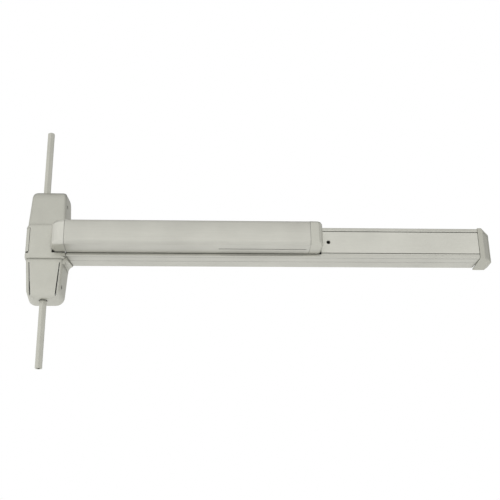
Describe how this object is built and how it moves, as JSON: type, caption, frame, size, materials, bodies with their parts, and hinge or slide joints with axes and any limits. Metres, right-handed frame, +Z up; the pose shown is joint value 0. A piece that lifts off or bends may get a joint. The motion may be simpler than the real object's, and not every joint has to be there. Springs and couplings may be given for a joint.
{
  "type": "panic exit bar",
  "caption": "Surface-mounted touch-bar exit device: a push pad in a long rail draws two vertical rods into a cast mechanism case.",
  "frame": {"origin": "on the door's face, at the middle of the mechanism case", "axes": "+X along the bar towards its far end, +Y into the door, +Z up along the rods"},
  "size_m": [0.821, 0.0968, 0.44],
  "materials": {
    "satin_case": "satin cast",
    "satin_rail": "satin, brushed along the bar",
    "satin_pad": "satin, brushed along the bar",
    "satin_nose": "satin, brushed up and down",
    "satin_pad_cap": "satin cast",
    "satin_end_cap": "satin cast",
    "rod_finish": "satin drawn bar",
    "zinc_steel": "zinc plated",
    "lever_steel": "blanked plate",
    "pin_steel": "turned",
    "spring_steel": "drawn wire",
    "screw_steel": "plated",
    "bush_plastic": "moulded acetal",
    "damper_rubber": "moulded"
  },
  "bodies": {
    "device_body": {"case_cover": "satin_case", "window_filler": "satin_case", "case_chassis": "zinc_steel", "cover_screws": "screw_steel", "spring_seat": "zinc_steel", "upper_lever_shaft": "zinc_steel", "lower_lever_shaft": "zinc_steel", "upper_rod_bush": "bush_plastic", "lower_rod_bush": "bush_plastic", "upper_rod_spring": "spring_steel", "lower_rod_spring": "spring_steel", "rail_channel": "satin_rail", "rail_cover_plate": "satin_rail", "rail_baseplate": "zinc_steel", "baseplate_screws": "screw_steel", "near_crank_axle": "pin_steel", "far_crank_axle": "pin_steel", "spring_bracket": "zinc_steel", "spring_guide_rod": "pin_steel", "return_spring": "spring_steel", "pad_dampers": "damper_rubber", "dogging_bush": "bush_plastic", "end_cap": "satin_end_cap", "end_bracket": "zinc_steel", "end_cap_screws": "screw_steel"},
    "pad_body": {"push_pad": "satin_pad", "pad_nose": "satin_nose", "pad_end_cap": "satin_pad_cap", "near_pad_bracket": "zinc_steel", "far_pad_bracket": "zinc_steel", "pad_bracket_pins": "pin_steel"},
    "near_crank_body": {"near_crank": "lever_steel"},
    "far_crank_body": {"far_crank": "lever_steel"},
    "link_body": {"drive_link": "lever_steel", "drive_yoke": "lever_steel", "crank_link_pins": "pin_steel", "yoke_pins": "pin_steel", "yoke_rivets": "screw_steel", "dogging_pin": "pin_steel", "spring_lug": "zinc_steel"},
    "upper_lever_body": {"upper_lever": "lever_steel"},
    "lower_lever_body": {"lower_lever": "lever_steel"},
    "upper_rod_body": {"upper_rod": "rod_finish", "upper_connector": "zinc_steel", "upper_connector_pin": "pin_steel", "upper_lock_nut": "screw_steel"},
    "lower_rod_body": {"lower_rod": "rod_finish", "lower_connector": "zinc_steel", "lower_connector_pin": "pin_steel", "lower_lock_nut": "screw_steel"},
    "dogging_body": {"dogging_screw": "screw_steel", "dogging_hook": "lever_steel"},
    "trim_body": {"trim_cam": "lever_steel"}
  },
  "joints": [
    {"name": "pad_press", "type": "slide", "parent": "device_body", "child": "pad_body", "axis": [0, 1, 0], "range_m": [0, 0.019], "stiffness_N_per_m": 900, "springref_m": -0.02},
    {"name": "near_crank_turn", "type": "hinge", "parent": "device_body", "child": "near_crank_body", "pos_m": [0.095, -0.021, 0], "axis": [0, 0, 1], "range_deg": [0, 37]},
    {"name": "far_crank_turn", "type": "hinge", "parent": "device_body", "child": "far_crank_body", "pos_m": [0.365, -0.021, 0], "axis": [0, 0, 1], "range_deg": [0, 37]},
    {"name": "link_slide", "type": "slide", "parent": "device_body", "child": "link_body", "axis": [1, 0, 0], "range_m": [0, 0.01071], "deforming": ["return_spring"]},
    {"name": "upper_lever_turn", "type": "hinge", "parent": "device_body", "child": "upper_lever_body", "pos_m": [0.017, -0.0285, 0.0345], "axis": [0, -1, 0], "range_deg": [0, 34.02]},
    {"name": "lower_lever_turn", "type": "hinge", "parent": "device_body", "child": "lower_lever_body", "pos_m": [0.017, -0.0285, -0.0345], "axis": [0, 1, 0], "range_deg": [0, 34.02]},
    {"name": "upper_rod_slide", "type": "slide", "parent": "device_body", "child": "upper_rod_body", "axis": [0, 0, -1], "range_m": [0, 0.01591], "deforming": ["upper_rod_spring"]},
    {"name": "lower_rod_slide", "type": "slide", "parent": "device_body", "child": "lower_rod_body", "axis": [0, 0, 1], "range_m": [0, 0.01591], "deforming": ["lower_rod_spring"]},
    {"name": "dogging_turn", "type": "hinge", "parent": "device_body", "child": "dogging_body", "pos_m": [0.49, -0.028, 0], "axis": [0, -1, 0], "range_deg": [0, 90]},
    {"name": "trim_cam_turn", "type": "hinge", "parent": "device_body", "child": "trim_body", "pos_m": [0.017, -0.006, 0], "axis": [0, 1, 0], "range_deg": [-45, 45]}
  ],
  "couplings": [
    {"joint": "near_crank_turn", "follows": "pad_press", "rad_per_m": 33.98},
    {"joint": "far_crank_turn", "follows": "pad_press", "rad_per_m": 33.98},
    {"joint": "link_slide", "follows": "pad_press", "ratio": 0.56338},
    {"joint": "upper_lever_turn", "follows": "pad_press", "rad_per_m": 31.242},
    {"joint": "lower_lever_turn", "follows": "pad_press", "rad_per_m": 31.242},
    {"joint": "upper_rod_slide", "follows": "pad_press", "ratio": 0.83702},
    {"joint": "lower_rod_slide", "follows": "pad_press", "ratio": 0.83702}
  ]
}
